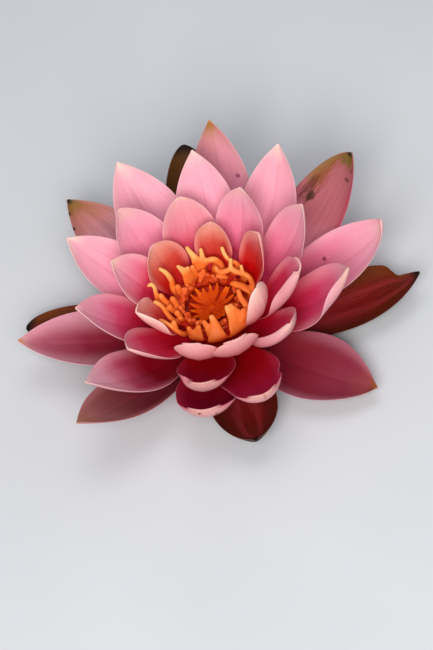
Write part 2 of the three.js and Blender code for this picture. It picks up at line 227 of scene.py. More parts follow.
floor_paint, floor_shader, floor_start = new_material("floor_paint", roughness=0.85)
mottle = floor_start.place().noise(9, 3).smooth(0.3, 0.7)
feed(floor_shader, "Base Color", mottle.ramp(FLOOR_GREYS))
floor.data.materials.append(floor_paint)


# ---- Receptacle ------------------------------------------
# The solid goblet of green-brown tissue that carries every petal and stamen. It narrows to
# the stem, which is cut flush and shows its ring of air canals.

STEM_RADIUS = 6
RIM_RADIUS = 12.6
RIM_HEIGHT = 25
CUT_CHAMFER = 0.6
WALL_HEIGHTS = (4, 8, 12, 16, 19, 20.5)
CROWN_HEIGHT = 21.3
CROWN_RADII = (11.2, 9.6, 0)
TURNING_STEPS = 72
CANALS = 6
CANAL_RADIUS = 1
CANAL_CIRCLE = 3.6
CANAL_DEPTH = 3
TISSUE = [(0, 0.3, 0.22, 0.08), (0.12, 0.2, 0.1, 0.04), (0.5, 0.24, 0.06, 0.035), (1, 0.42, 0.04, 0.03)]
TISSUE_SPECKLE = (0.75, 0.7, 0.6)


def receptacle_radius(height):
    """The goblet's half width, which opens from the stem to the rim as a sine does."""
    share = min(1, max(0, height / RIM_HEIGHT))
    return STEM_RADIUS + (RIM_RADIUS - STEM_RADIUS) * sin(pi / 2 * share)


def round_the_middle(azimuth, radius, height):
    """The point at an azimuth in degrees, a distance from the flower's axis and a height."""
    azimuth = radians(azimuth)
    return Vector((radius * cos(azimuth), radius * sin(azimuth), height))


def turn_profile(shape, profile, steps, closed=False):
    """Turns a line of (radius, height) points into a round body about the flower's axis."""
    line = [shape.verts.new((radius, 0, height)) for radius, height in profile]
    following = line[1:] + line[:1] if closed else line[1:]
    edges = [shape.edges.new(pair) for pair in zip(line, following)]
    bmesh.ops.spin(
        shape, geom=line + edges, cent=(0, 0, 0), axis=(0, 0, 1), angle=2 * pi, steps=steps, use_merge=True
    )
    bmesh.ops.remove_doubles(shape, verts=shape.verts, dist=0.001)


def of_kind(kind, geometry):
    """The vertices, edges or faces in what an operator gives back."""
    return [item for item in geometry if isinstance(item, kind)]


def receptacle_shape():
    """The turned goblet, closed at the cut, with its canals sunk into the cut face."""
    shape = bmesh.new()
    profile = [(receptacle_radius(0) - CUT_CHAMFER, 0)]
    profile += [(receptacle_radius(height), height) for height in (CUT_CHAMFER, *WALL_HEIGHTS)]
    profile += [(radius, CROWN_HEIGHT) for radius in CROWN_RADII]
    turn_profile(shape, profile, TURNING_STEPS)
    cut = [edge for edge in shape.edges if edge.is_boundary]
    mouths = []
    for canal in range(CANALS):
        centre = Matrix.Translation(round_the_middle(360 * canal / CANALS, CANAL_CIRCLE, 0))
        ring = bmesh.ops.create_circle(shape, segments=20, radius=CANAL_RADIUS, matrix=centre)
        mouths.append(list({edge for vert in ring["verts"] for edge in vert.link_edges}))
    bmesh.ops.triangle_fill(shape, edges=cut + sum(mouths, []), use_beauty=True)
    for mouth in mouths:
        walls = bmesh.ops.extrude_edge_only(shape, edges=mouth)["geom"]
        deep = of_kind(bmesh.types.BMVert, walls)
        bmesh.ops.translate(shape, verts=deep, vec=(0, 0, CANAL_DEPTH))
        deep_edges = [edge for edge in of_kind(bmesh.types.BMEdge, walls) if set(edge.verts) <= set(deep)]
        bmesh.ops.contextual_create(shape, geom=deep_edges)
    bmesh.ops.recalc_face_normals(shape, faces=shape.faces)
    return shape


def add_piece(name, shape, materials, nodes, subdivisions=1):
    """Turns a finished shape in millimetres into a piece that stands for CAD nodes."""
    bmesh.ops.scale(shape, verts=shape.verts, vec=(0.001, 0.001, 0.001))
    mesh = bpy.data.meshes.new(name)
    shape.to_mesh(mesh)
    shape.free()
    for polygon in mesh.polygons:
        polygon.use_smooth = True
    for material in materials:
        mesh.materials.append(material)
    piece = bpy.data.objects.new(name, mesh)
    scene.collection.objects.link(piece)
    if subdivisions:
        smoother = piece.modifiers.new("smoother", "SUBSURF")
        smoother.levels = smoother.render_levels = subdivisions
    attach(piece, "root")
    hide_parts(*nodes)
    return piece


def dress(shader, colour, relief, depth, strength=0.3):
    """Gives a shader its colour, and a bump from a relief that is a depth in metres deep."""
    feed(shader, "Base Color", colour)
    bump = {"Strength": strength, "Distance": depth, "Height": relief}
    feed(shader, "Normal", colour.node("ShaderNodeBump", {}, bump))


flesh, flesh_shader, flesh_start = new_material("receptacle_flesh", gloss=0.35)
place = flesh_start.place()
speckle = place.noise(900, 3).smooth(0.35, 0.75)
tissue = place.axis(2).smooth(0.001, 0.021).ramp(TISSUE).tinted(TISSUE_SPECKLE, speckle)
dress(flesh_shader, tissue, speckle, 0.0003)
feed(flesh_shader, "Roughness", speckle * 0.15 + 0.5)
add_piece("receptacle_flesh", receptacle_shape(), [flesh], ["receptacle"], 0)


# ---- Sepals ----------------------------------------------
# Four leathery leaves under the flower that held the bud closed: dark olive outside,
# mahogany inside with parallel veins. Each grows from the foot of the receptacle.

ROWS = 34
COLUMNS = 12  # on each side of the midrib
ROW_CROWDING = 1.35
ROOT = -0.02  # share of the length that is sunk in the receptacle
BELLY = 0.56  # share of the length where a blade is widest
FOOT_SHARE = 0.26
FOOT_TAPER = 1.3
POINTED = 0.9
BLUNT = 0.62
TIP_HALF_WIDTH = 0.4
ROOT_OFFSET = 0.3  # between the wall of the receptacle and the root
CUP = radians(35)
FOOT_CUP = 0.6  # share of the cup at the foot
FULL_CUP = 0.4  # share of the length where a blade is fully cupped
FOLD_RUN = 0.35
HOOK_START = 0.9
BITE_RUN = 0.03
DENT_RUN = 0.05
END_START = 0.8
END_SETBACK = 0.04
RAGGED_START = 0.85
MARGIN_THINNING = 0.72
MIDRIB_DEPTH = 0.3
MIDRIB_WIDTH = 0.07
RIPPLE = 0.25

SEPAL_HEIGHT = 5
SEPAL_THICKNESS = (1.3, 0.9)  # at the foot and at the tip
# A blade rises from its first angle at the foot to its second at the tip, in degrees. It may
# sway sideways, curl or hook near the tip, widen its end, bowl, fold one side over past a
# hinge, or have a margin bitten, dented or ragged. Where these start is a share of the blade.
SEPALS = {
    "sepal_back": dict(azimuth=84.5, length=74, width=26, rise=(-8, 38), blunt=True),
    "sepal_right": dict(azimuth=-10, length=72, width=29, rise=(-10, 21), sway=14, tip=0.75,
                        bite=(0.85, 0.62)),
    "sepal_front": dict(azimuth=-89, length=53, width=27, rise=(-6, 26), tip=0.42),
    "sepal_left": dict(azimuth=158.5, length=68, width=26, rise=(-12, 16), blunt=True),
}


def ease(share):
    """0 before 0 and 1 past 1, with a soft change between."""
    share = min(1, max(0, share))
    return share * share * (3 - 2 * share)


def row_place(row):
    """Rows lie closer together towards the tip."""
    return ROOT + (1 - ROOT) * (1 - (1 - row / ROWS) ** ROW_CROWDING)


def blade_half_width(blade, along):
    """Half the width of a blade, from its foot over the belly to the tip."""
    if along < BELLY:
        opening = sin(pi / 2 * max(0, along) / BELLY)
        share = FOOT_SHARE + (1 - FOOT_SHARE) * opening**FOOT_TAPER
    else:
        closing = 1 - ((along - BELLY) / (1 - BELLY)) ** 2
        share = max(0, closing) ** blade.get("tip", BLUNT if blade.get("blunt") else POINTED)
    return max(blade["width"] / 2 * max(share, blade.get("end", 0)), TIP_HALF_WIDTH)


def margin_reach(blade, along, side):
    """The half width on one side, less the bite or dent in the anticlockwise margin."""
    reach = blade_half_width(blade, along)
    if side > 0 and "bite" in blade:
        start, depth = blade["bite"]
        reach *= 1 - depth * ease((along - start) / BITE_RUN)
    if side > 0 and "dent" in blade:
        middle, depth = blade["dent"]
        reach *= 1 - depth * exp(-(((along - middle) / DENT_RUN) ** 2))
    return reach


def side_section(cup, fold, hinge):
    """Places from the midrib to a margin, with the angle the face has turned up to there."""
    places = [(0, 0, 0)]
    x = y = 0
    finer = 2
    count = COLUMNS * finer

    def turned(share):
        return cup * share + fold * ease((share - hinge[0]) / (hinge[1] - hinge[0]))

    for step in range(1, count + 1):
        angle = turned((step - 0.5) / count)
        x += cos(angle) / count
        y += sin(angle) / count
        if step % finer == 0:
            places.append((x, y, turned(step / count)))
    return places


def blade_sections(blade, along):
    """The two sides of a blade at one row: the clockwise one, which may fold, and the other."""
    cup = CUP * (FOOT_CUP + (1 - FOOT_CUP) * ease(along / FULL_CUP))
    cup += radians(blade.get("bowl", 0)) * ease(along / FULL_CUP - 1)
    fold, fold_start = blade.get("fold", (0, 0))
    fold = radians(fold) * ease((along - fold_start) / FOLD_RUN)
    hinge = blade.get("hinge", (0.45, 1))
    return side_section(cup * blade.get("open", 1), fold, hinge), side_section(cup, 0, hinge)


def blade_direction(blade, along):
    """The way a blade runs at a place along it, and the level way to its anticlockwise side."""
    rise = blade["rise"][0] + (blade["rise"][1] - blade["rise"][0]) * along
    curl, curl_start = blade.get("curl", (0, 0))
    rise += curl * ease((along - curl_start) / (1 - curl_start))
    rise += blade.get("hook", 0) * ease((along - HOOK_START) / (1 - HOOK_START))
    azimuth = blade["azimuth"] + blade.get("sway", 0) * along
    return direction(azimuth, rise), direction(azimuth + 90, 0)


def blade_rows(blade, height):
    """The place and directions of every row of a blade, from its root to its tip."""
    place = round_the_middle(blade["azimuth"], receptacle_radius(height) + ROOT_OFFSET, height)
    place += blade_direction(blade, 0)[0] * blade["length"] * ROOT
    rows = []
    before = ROOT
    for row in range(ROWS + 1):
        along = row_place(row)
        forward, _ = blade_direction(blade, (before + along) / 2)
        place = place + forward * blade["length"] * (along - before)
        rows.append((along, place, *blade_direction(blade, along)))
        before = along
    return rows


def flat_blade():
    """A closed grid, 1 deep, with its inner face on top and its map laid over both faces."""
    shape = bmesh.new()
    unwrapped = shape.loops.layers.uv.new("across_and_along")
    bmesh.ops.create_grid(shape, x_segments=2 * COLUMNS, y_segments=ROWS, size=1)
    extruded = bmesh.ops.extrude_face_region(shape, geom=shape.faces[:], use_keep_orig=True)["geom"]
    bmesh.ops.translate(shape, verts=of_kind(bmesh.types.BMVert, extruded), vec=(0, 0, -1))
    bmesh.ops.recalc_face_normals(shape, faces=shape.faces)
    # Bending mirrors the grid, so its faces point inwards until then.
    bmesh.ops.reverse_faces(shape, faces=shape.faces)
    for face in shape.faces:
        face.material_index = 0 if all(vert.co.z > -0.5 for vert in face.verts) else 1
        for loop in face.loops:
            row = round((loop.vert.co.y + 1) / 2 * ROWS)
            loop[unwrapped].uv = ((loop.vert.co.x + 1) / 2, max(0, row_place(row)))
    return shape


def blade_shape(blade, height, thickness):
    """A flat blade bent to its rows and sections, with its thickness, midrib and ripple."""
    shape = flat_blade()
    rows = blade_rows(blade, height)
    sections = [blade_sections(blade, along) for along, *_ in rows]
    for vert in shape.verts:
        row = round((vert.co.y + 1) / 2 * ROWS)
        column = round(vert.co.x * COLUMNS)
        along, place, forward, left = rows[row]
        side = (column > 0) - (column < 0)
        x, y, angle = sections[row][0 if column < 0 else 1][abs(column)]
        across = abs(column) / COLUMNS
        up = forward.cross(left)
        reach = margin_reach(blade, along, side)
        point = place + left * side * x * reach + up * y * reach
        if "end" in blade:
            setback = END_SETBACK * across**3 * ease((along - END_START) / (1 - END_START))
            point -= forward * blade["length"] * setback
        if "ragged" in blade:
            nibble = sin(2.1 * column) + sin(3.7 * column + 1)
            point += forward * blade["ragged"] / 2 * nibble * ease((along - RAGGED_START) / 0.1)
        depth = 0
        if vert.co.z < -0.5:
            depth = thickness[0] + (thickness[1] - thickness[0]) * along
            depth *= 1 - MARGIN_THINNING * across**2
        groove = MIDRIB_DEPTH * exp(-((across / MIDRIB_WIDTH) ** 2))
        depth += groove * ease(along / 0.2) * ease((1 - along) / 0.3)
        ripple = RIPPLE * across**3 * ease(along / 0.5)
        depth += ripple * sin(9 * along + 2.3 * side + blade["azimuth"])
        normal = up * cos(angle) - left * side * sin(angle)
        vert.co = point - normal * depth
    return shape


WAX = 0.12  # share of the light that sinks into a petal, a sepal or a stamen
SEPAL_GLOSS = 0.1
RIND_GLOSS = 0.4
LEATHER_ROUGHNESS = 0.46


def skin_start(name, gloss, roughness=0.5):
    """A material on a blade's map: the places across and along it, and how near a margin."""
    material, shader, start = new_material(name, gloss, roughness, WAX)
    unwrapped = start.node("ShaderNodeUVMap", {"uv_map": "across_and_along"}, {})
    across, along = unwrapped.axis(0), unwrapped.axis(1)
    return material, shader, across, along, abs(across - 0.5) * 2


def veins(across, along, seed, count):
    """Fine lines that run from the foot to the tip."""
    return across.vector(across * count, along * 2.2, seed).noise(1, 3, 0.6)


MAHOGANY = [(0, 0.22, 0.006, 0.01), (0.4, 0.26, 0.014, 0.02), (0.7, 0.17, 0.008, 0.005),
            (1, 0.06, 0.012, 0.004)]
MAHOGANY_FLUSH = (0.32, 0.03, 0.035)
MAHOGANY_VEIN = (0.4, 0.34, 0.28)
CHARRED = (0.012, 0.006, 0.003)
# The colours of the clockwise and the other margin, and where the other one starts.
MARGINS = {
    "sepal_back": ((0.035, 0.014, 0.003), (0.09, 0.036, 0.006), -0.3),
    "sepal_right": ((0.09, 0.01, 0.002), (0.14, 0.028, 0.004), 0.14),
    "sepal_front": ((0.1, 0.012, 0.008), (0.1, 0.012, 0.008), 0.14),
    "sepal_left": ((0.17, 0.035, 0.003), (0.07, 0.02, 0.004), 0.14),
}
LEATHER_RELIEF = {"depth": 0.0004, "strength": 0.5}


def leather_face(name, near_margin, far_margin, far_start):
    """The inner face of a sepal: mahogany with veins, a flush, two margins and a dark tip."""
    material, shader, across, along, edge = skin_start(name, SEPAL_GLOSS, LEATHER_ROUGHNESS)
    lines = veins(across, along, 3.0, 46)
    cloud = across.vector(across * 7, along * 1.5, 8.0).noise(1, 3, 0.6)
    uneven = (cloud - 0.5) * 0.3
    flush = cloud.smooth(0.38, 0.68) * (1 - edge.smooth(0.3, 0.85)) * 0.7
    colour = along.ramp(MAHOGANY).mixed(MAHOGANY_FLUSH, flush)
    colour = colour.tinted(MAHOGANY_VEIN, lines.smooth(0.45, 0.7) * 0.8)
    colour = colour.mixed(near_margin, (0.5 - across + uneven).smooth(0.08, 0.4) * 0.9)
    far = (across - 0.5 + uneven).smooth(far_start, far_start + 0.26)
    colour = colour.mixed(far_margin, far * 0.9)
    colour = colour.mixed(CHARRED, along.smooth(0.93, 0.99))
    dress(shader, colour, lines, **LEATHER_RELIEF)
    return material


OLIVE_RIND = [(0, 0.1, 0.05, 0.012), (0.5, 0.07, 0.03, 0.005), (0.9, 0.045, 0.018, 0.003),
              (1, 0.012, 0.007, 0.004)]
RIND_VEIN = (0.55, 0.5, 0.45)
RIND_MARGIN = (0.16, 0.04, 0.02)

rind, rind_shader, across, along, edge = skin_start("sepal_outside", RIND_GLOSS)
lines = veins(across, along, 5.0, 40)
colour = along.ramp(OLIVE_RIND).tinted(RIND_VEIN, lines.smooth(0.45, 0.7) * 0.7)
colour = colour.mixed(RIND_MARGIN, edge.smooth(0.85, 1.0) * 0.6)
dress(rind_shader, colour, lines, **LEATHER_RELIEF)

for name, blade in SEPALS.items():
    leather = leather_face(name + "_inside", *MARGINS[name])
    shape = blade_shape(blade, SEPAL_HEIGHT, SEPAL_THICKNESS)
    add_piece(name + "_leaf", shape, [leather, rind], [name])


# ---- Petals ----------------------------------------------
# Cupped pink blades in five whorls up the side of the receptacle. The outer ones are long,
# pointed and cool pink, the inner ones short, rounded and coral, all deep red at the foot,
# which is partly their own colour and partly painted shade of the recesses between them.

PETAL_THICKNESS = (1.25, 0.8)  # at the foot and at the tip
# The height each whorl grows at, its slot, and its petals. A petal's lift adds to the height.
WHORLS = {
    "outer_petal": (7.8, "outer_petal", [
        dict(azimuth=120, length=75, width=28, rise=(-4, 22), look="aged", streaks=1),
        dict(azimuth=30, length=77, width=29, rise=(-1, 48), tip=0.66, look="scorched", streaks=1),
        dict(azimuth=-50, length=61, width=32, rise=(-8, 7), sway=14, hook=22, look="rosewood_painted_shade"),
        dict(azimuth=-146, length=70, width=25, rise=(0, 42), look="maroon_painted_shade"),
    ]),
    "second_petal": (10.6, "outer_petal", [
        dict(azimuth=69, length=75, width=26, rise=(-6, 74), sway=12, look="dusk"),
        dict(azimuth=3, length=70, width=29, rise=(0, 42), curl=(20, 0.72), hook=35, look="rose"),
        dict(azimuth=-106, length=50.5, width=28, rise=(-2, 42), tip=0.34, end=0.5, curl=(46, 0.76),
             bowl=14, look="ruby_painted_shade"),
        dict(azimuth=171.5, length=67, width=28, rise=(-8, 28), hook=12, look="mauve_painted_shade", rim=0.2),
    ]),
    "middle_petal": (13.6, "middle_petal", [
        dict(azimuth=41.5, length=65, width=25, rise=(8, 68), sway=12, lift=-1.2, look="pale"),
        dict(azimuth=74, length=56.2, width=24, rise=(26, 60), sway=14, lift=0.8, look="pale"),
        dict(azimuth=105, length=65.2, width=28, rise=(4, 56), sway=4, lift=-1.3, look="pale"),
        dict(azimuth=142, length=56, width=25, rise=(11, 55), lift=-0.2, look="pale"),
        dict(azimuth=179, length=50, width=25, rise=(14, 66), lift=0.6, hook=-15, look="orchid"),
        dict(azimuth=-149, length=58, width=27, rise=(-3, 58), sway=-8, lift=-1, tip=1.1, hook=-10,
             look="tulip"),
        dict(azimuth=-81, length=53, width=26, rise=(8, 33), tip=0.34, end=0.5, curl=(52, 0.77), bowl=20,
             dent=(0.7, 0.13), look="ruby_painted_shade"),
        dict(azimuth=-19, length=58, width=26, rise=(2, 66), lift=-0.8, curl=(10, 0.72), fold=(120, 0.62),
             hinge=(0.4, 0.83), open=0.6, look="petunia", rim=0.4),
    ]),
    "inner_petal": (17, "inner_petal", [
        dict(azimuth=13, length=51, width=24, rise=(16, 80), sway=4, lift=-1, tip=0.75, look="rose"),
        dict(azimuth=48, length=44.3, width=21.5, rise=(28, 86), sway=6, lift=-0.4, tip=0.62, look="rose"),
        dict(azimuth=90, length=37.8, width=23, rise=(40, 66), lift=0.6, tip=0.62, look="blush"),
        dict(azimuth=121, length=46.8, width=24.5, rise=(14, 72), lift=-1, tip=0.72, look="rose"),
        dict(azimuth=150, length=35.6, width=22, rise=(29, 65), lift=0.8, tip=0.7, look="dawn"),
        dict(azimuth=-150, length=36, width=23, rise=(13, 62), lift=0.5, tip=0.6, look="carmine_painted_shade"),
        dict(azimuth=-107, length=38, width=24, rise=(6, 34), tip=0.34, end=0.5, curl=(66, 0.72), bowl=18,
             fold=(95, 0.6), hinge=(0.6, 1), look="ruby_painted_shade"),
        dict(azimuth=-49, length=37, width=24, rise=(3, 66), tip=0.7, curl=(20, 0.72), fold=(95, 0),
             hinge=(0.5, 0.95), look="carmine_painted_shade"),
        dict(azimuth=-22, length=39.5, width=22, rise=(24, 73), sway=14, lift=0.8, tip=0.45, end=0.45,
             fold=(100, 0.35), hinge=(0.45, 0.85), look="carmine_painted_shade"),
    ]),
    "innermost_petal": (20.3, "innermost_petal", [
        dict(azimuth=69, length=26, width=15, rise=(46, 84), tip=0.38, look="coral"),
        dict(azimuth=18, length=30, width=17, rise=(42, 86), tip=0.45, look="garnet"),
        dict(azimuth=126, length=25.5, width=20, rise=(40, 78), tip=0.45, look="coral"),
        dict(azimuth=-168, length=26, width=20, rise=(28, 76), tip=0.5, bowl=34, look="peach", rim=0.4),
        dict(azimuth=-111, length=35, width=19, rise=(5, 96), tip=0.4, end=0.4, ragged=0.25, look="coral"),
        dict(azimuth=-82, length=35, width=20, rise=(2, 92), tip=0.4, end=0.5, ragged=0.5, look="coral"),
        dict(azimuth=-43, length=31.5, width=16.5, rise=(26, 108), tip=0.45, look="peach"),
    ]),
}

# Colours along the inner face and along the back, from the foot to the tip, and of the rim.
WEATHERED_BACK = [(0, 0.4, 0.12, 0.14), (0.6, 0.6, 0.28, 0.32), (1, 0.4, 0.2, 0.1)]
BRONZED_BACK = [(0, 0.3, 0.04, 0.06), (0.6, 0.4, 0.12, 0.16), (1, 0.4, 0.16, 0.1)]
MAUVE_BACK = [(0, 0.4, 0.08, 0.1), (0.5, 0.6, 0.24, 0.3), (0.85, 0.72, 0.38, 0.42), (1, 0.75, 0.45, 0.4)]
ROSY_BACK = [(0, 0.5, 0.12, 0.14), (0.5, 0.72, 0.3, 0.34), (1, 0.8, 0.5, 0.46)]
FLUSHED_BACK = [(0, 0.56, 0.1, 0.1), (0.5, 0.78, 0.3, 0.32), (0.85, 0.86, 0.46, 0.46),
                (1, 0.86, 0.52, 0.46)]
WARM_BACK = [(0, 0.6, 0.05, 0.05), (0.5, 0.78, 0.18, 0.19), (0.8, 0.86, 0.31, 0.33), (1, 0.88, 0.42, 0.4)]
# The darkest looks, worn by the petals on the front of the flower, are partly their own deeper colour and
# partly painted shade.
LOOKS = {
    "aged": (
        [(0, 0.4, 0.03, 0.06), (0.45, 0.84, 0.38, 0.5), (0.68, 0.8, 0.36, 0.42), (0.84, 0.54, 0.2, 0.17),
         (0.94, 0.34, 0.12, 0.04), (1, 0.15, 0.08, 0.008)],
        WEATHERED_BACK, (0.55, 0.24, 0.22)),
    "scorched": (
        [(0, 0.4, 0.03, 0.06), (0.4, 0.8, 0.32, 0.42), (0.65, 0.54, 0.16, 0.19), (0.88, 0.4, 0.12, 0.13),
         (1, 0.22, 0.07, 0.02)],
        WEATHERED_BACK, (0.55, 0.14, 0.18)),
    "rosewood_painted_shade": (
        [(0, 0.24, 0.004, 0.014), (0.4, 0.22, 0.01, 0.024), (0.8, 0.23, 0.022, 0.045),
         (0.93, 0.28, 0.05, 0.05), (1, 0.32, 0.1, 0.02)],
        BRONZED_BACK, (0.5, 0.2, 0.26)),
    "maroon_painted_shade": (
        [(0, 0.18, 0.002, 0.008), (0.5, 0.2, 0.02, 0.03), (0.8, 0.3, 0.1, 0.1), (1, 0.4, 0.17, 0.1)],
        BRONZED_BACK, (0.5, 0.2, 0.2)),
    "mauve_painted_shade": (
        [(0, 0.24, 0.0005, 0.006), (0.35, 0.24, 0.001, 0.012), (0.6, 0.23, 0.01, 0.032),
         (0.82, 0.36, 0.072, 0.115), (0.93, 0.5, 0.16, 0.2), (1, 0.72, 0.4, 0.34)],
        MAUVE_BACK, (0.9, 0.46, 0.54)),
    "tulip": (
        [(0, 0.2, 0.0003, 0.004), (0.4, 0.23, 0.0008, 0.01), (0.57, 0.44, 0.058, 0.12),
         (0.73, 0.72, 0.31, 0.39), (0.92, 0.86, 0.46, 0.54), (1, 0.85, 0.52, 0.52)],
        MAUVE_BACK, (0.78, 0.4, 0.45)),
    "ruby_painted_shade": (
        [(0, 0.31, 0.0003, 0.002), (0.4, 0.28, 0.0004, 0.004), (0.78, 0.3, 0.005, 0.04),
         (1, 0.44, 0.04, 0.09)],
        [(0, 0.5, 0.08, 0.1), (0.5, 0.62, 0.2, 0.24), (0.85, 0.66, 0.27, 0.29), (1, 0.68, 0.33, 0.3)],
        (0.42, 0.03, 0.08)),
    "carmine_painted_shade": (
        [(0, 0.42, 0.001, 0.008), (0.3, 0.48, 0.003, 0.02), (0.6, 0.58, 0.03, 0.09),
         (0.88, 0.74, 0.18, 0.28), (1, 0.84, 0.42, 0.44)],
        [(0, 0.5, 0.08, 0.1), (0.5, 0.66, 0.22, 0.26), (0.85, 0.72, 0.31, 0.33), (1, 0.8, 0.45, 0.39)],
        (0.76, 0.38, 0.4)),
    "petunia": (
        [(0, 0.42, 0.0005, 0.006), (0.3, 0.44, 0.001, 0.015), (0.52, 0.56, 0.03, 0.1),
         (0.72, 0.72, 0.14, 0.25), (0.88, 0.86, 0.35, 0.45), (1, 0.93, 0.6, 0.52)],
        [(0, 0.5, 0.08, 0.1), (0.5, 0.6, 0.21, 0.25), (0.85, 0.64, 0.28, 0.3), (1, 0.74, 0.45, 0.36)],
        (0.82, 0.42, 0.46)),
    "orchid": (
        [(0, 0.36, 0.001, 0.01), (0.36, 0.42, 0.006, 0.03), (0.56, 0.58, 0.06, 0.14),
         (0.78, 0.8, 0.28, 0.4), (0.94, 0.86, 0.4, 0.47), (1, 0.88, 0.54, 0.48)],
        ROSY_BACK, (0.85, 0.45, 0.5)),
    "dusk": (
        [(0, 0.5, 0.04, 0.08), (0.4, 0.86, 0.34, 0.47), (0.68, 0.8, 0.32, 0.42), (0.9, 0.66, 0.28, 0.29),
         (1, 0.46, 0.22, 0.08)],
        [(0, 0.5, 0.16, 0.18), (0.6, 0.66, 0.34, 0.38), (1, 0.6, 0.36, 0.26)],
        (0.76, 0.42, 0.42)),
    "rose": (
        [(0, 0.42, 0.005, 0.025), (0.32, 0.5, 0.03, 0.09), (0.52, 0.78, 0.2, 0.32),
         (0.85, 0.86, 0.38, 0.48), (1, 0.88, 0.52, 0.48)],
        ROSY_BACK, (0.85, 0.45, 0.5)),
    "pale": (
        [(0, 0.5, 0.02, 0.06), (0.3, 0.76, 0.17, 0.29), (0.55, 0.88, 0.34, 0.46), (0.88, 0.9, 0.42, 0.5),
         (0.95, 0.94, 0.56, 0.55), (1, 0.9, 0.72, 0.58)],
        [(0, 0.55, 0.14, 0.16), (0.5, 0.74, 0.34, 0.38), (1, 0.82, 0.55, 0.5)],
        (0.92, 0.5, 0.54)),
    "blush": (
        [(0, 0.44, 0.0005, 0.004), (0.25, 0.5, 0.003, 0.02), (0.48, 0.62, 0.06, 0.12),
         (0.75, 0.77, 0.27, 0.33), (0.93, 0.83, 0.38, 0.4), (1, 0.92, 0.56, 0.46)],
        FLUSHED_BACK, (0.92, 0.5, 0.5)),
    "dawn": (
        [(0, 0.48, 0.002, 0.01), (0.28, 0.54, 0.005, 0.025), (0.48, 0.62, 0.035, 0.09),
         (0.72, 0.8, 0.26, 0.36), (0.92, 0.92, 0.44, 0.5), (1, 0.95, 0.62, 0.52)],
        FLUSHED_BACK, (0.94, 0.56, 0.56)),
    "garnet": (
        [(0, 0.5, 0.0008, 0.0008), (0.38, 0.52, 0.001, 0.002), (0.58, 0.52, 0.03, 0.03),
         (0.76, 0.64, 0.13, 0.13), (1, 0.88, 0.42, 0.36)],
        WARM_BACK, (0.88, 0.42, 0.36)),
    "peach": (
        [(0, 0.5, 0.003, 0.003), (0.4, 0.68, 0.06, 0.05), (0.6, 0.82, 0.22, 0.19), (0.85, 0.88, 0.38, 0.33),
         (1, 0.92, 0.5, 0.4)],
        [(0, 0.6, 0.05, 0.05), (0.45, 0.84, 0.26, 0.27), (0.75, 0.92, 0.44, 0.42), (1, 0.94, 0.55, 0.46)],
        (0.94, 0.58, 0.5)),
    "coral": (
        [(0, 0.5, 0.001, 0.001), (0.38, 0.5, 0.01, 0.006), (0.6, 0.6, 0.07, 0.045), (0.82, 0.8, 0.27, 0.2),
         (1, 0.9, 0.44, 0.34)],
        WARM_BACK, (0.88, 0.42, 0.36)),
}

# Marks of age and of insects: place across and along the blade, half sizes, colour, strength.
BLACK_GREEN = (0.012, 0.014, 0.004)
OLIVE = (0.2, 0.13, 0.012)
BROWN = (0.14, 0.03, 0.012)
FACE_MARKS = {
    "outer_petal_1": [
        (0.6, 0.96, 0.5, 0.055, OLIVE, 0.45),
        (0.5, 1.0, 0.5, 0.035, BLACK_GREEN, 1),
        (0.97, 0.93, 0.1, 0.014, BLACK_GREEN, 1),
        (0.98, 0.85, 0.08, 0.014, BLACK_GREEN, 1),
        (0.98, 0.77, 0.08, 0.018, BLACK_GREEN, 1),
        (0.35, 0.72, 0.12, 0.1, (0.34, 0.1, 0.1), 0.3),
    ],
    "outer_petal_2": [
        (0.92, 0.86, 0.2, 0.14, OLIVE, 0.85),
        (0.55, 0.97, 0.4, 0.05, (0.14, 0.1, 0.01), 0.9),
        (0.5, 1.0, 0.5, 0.028, BLACK_GREEN, 1),
        (0.8, 0.8, 0.13, 0.15, (0.26, 0.06, 0.02), 0.75),
        (0.86, 0.73, 0.07, 0.08, BROWN, 0.9),
        (0.76, 0.7, 0.07, 0.035, (0.05, 0.02, 0.008), 0.9),
        (0.3, 0.87, 0.1, 0.012, BROWN, 0.8),
        (0.2, 0.92, 0.06, 0.01, BROWN, 0.8),
        (0.05, 0.8, 0.14, 0.25, (0.5, 0.06, 0.12), 0.6),
    ],
    "outer_petal_3": [
        (0.5, 0.99, 0.5, 0.04, (0.3, 0.09, 0.015), 0.8),
        (0.04, 0.97, 0.3, 0.03, (0.03, 0.012, 0.006), 1),
    ],
    "second_petal_1": [
        (0.5, 1.0, 0.5, 0.05, (0.42, 0.18, 0.03), 0.8),
        (0.2, 0.68, 0.05, 0.015, (0.3, 0.05, 0.12), 0.8),
    ],
    "second_petal_2": [(0.72, 0.53, 0.04, 0.014, (0.3, 0.04, 0.09), 0.9)],
    "second_petal_4": [(0.5, 1.0, 0.5, 0.04, (0.5, 0.22, 0.06), 0.8)],
    "middle_petal_6": [(0.93, 0.74, 0.05, 0.014, (0.1, 0.01, 0.02), 1)],
}
BACK_MARKS = {
    "second_petal_3": [
        (0.4, 0.955, 0.05, 0.02, (0.2, 0.05, 0.01), 0.95),
        (0.7, 0.9, 0.05, 0.015, (0.06, 0.01, 0.01), 1),
    ],
    "middle_petal_7": [(0.5, 0.97, 0.05, 0.05, (0.45, 0.16, 0.1), 0.7)],
}
PETAL_GLOSS = 0.22
VEIN_TINT = (0.88, 0.76, 0.8)
CREASE_TONE_AND_SHADE = (0.88, 0.7, 0.75)


def marked(colour, marks, across, along, frayed):
    """A colour with marks painted over it, which fray at the edge, small ones the least."""
    for mark_across, mark_along, half_across, half_along, paint, strength in marks:
        aside = (across - mark_across) * (1 / half_across)
        up = (along - mark_along) * (1 / half_along)
        fraying = 4.5 * min(1, half_along / 0.05)
        inside = (aside * aside + up * up + (frayed - 0.5) * fraying).smooth(1.1, 0.2)
        colour = colour.mixed(paint, inside * strength)
    return colour


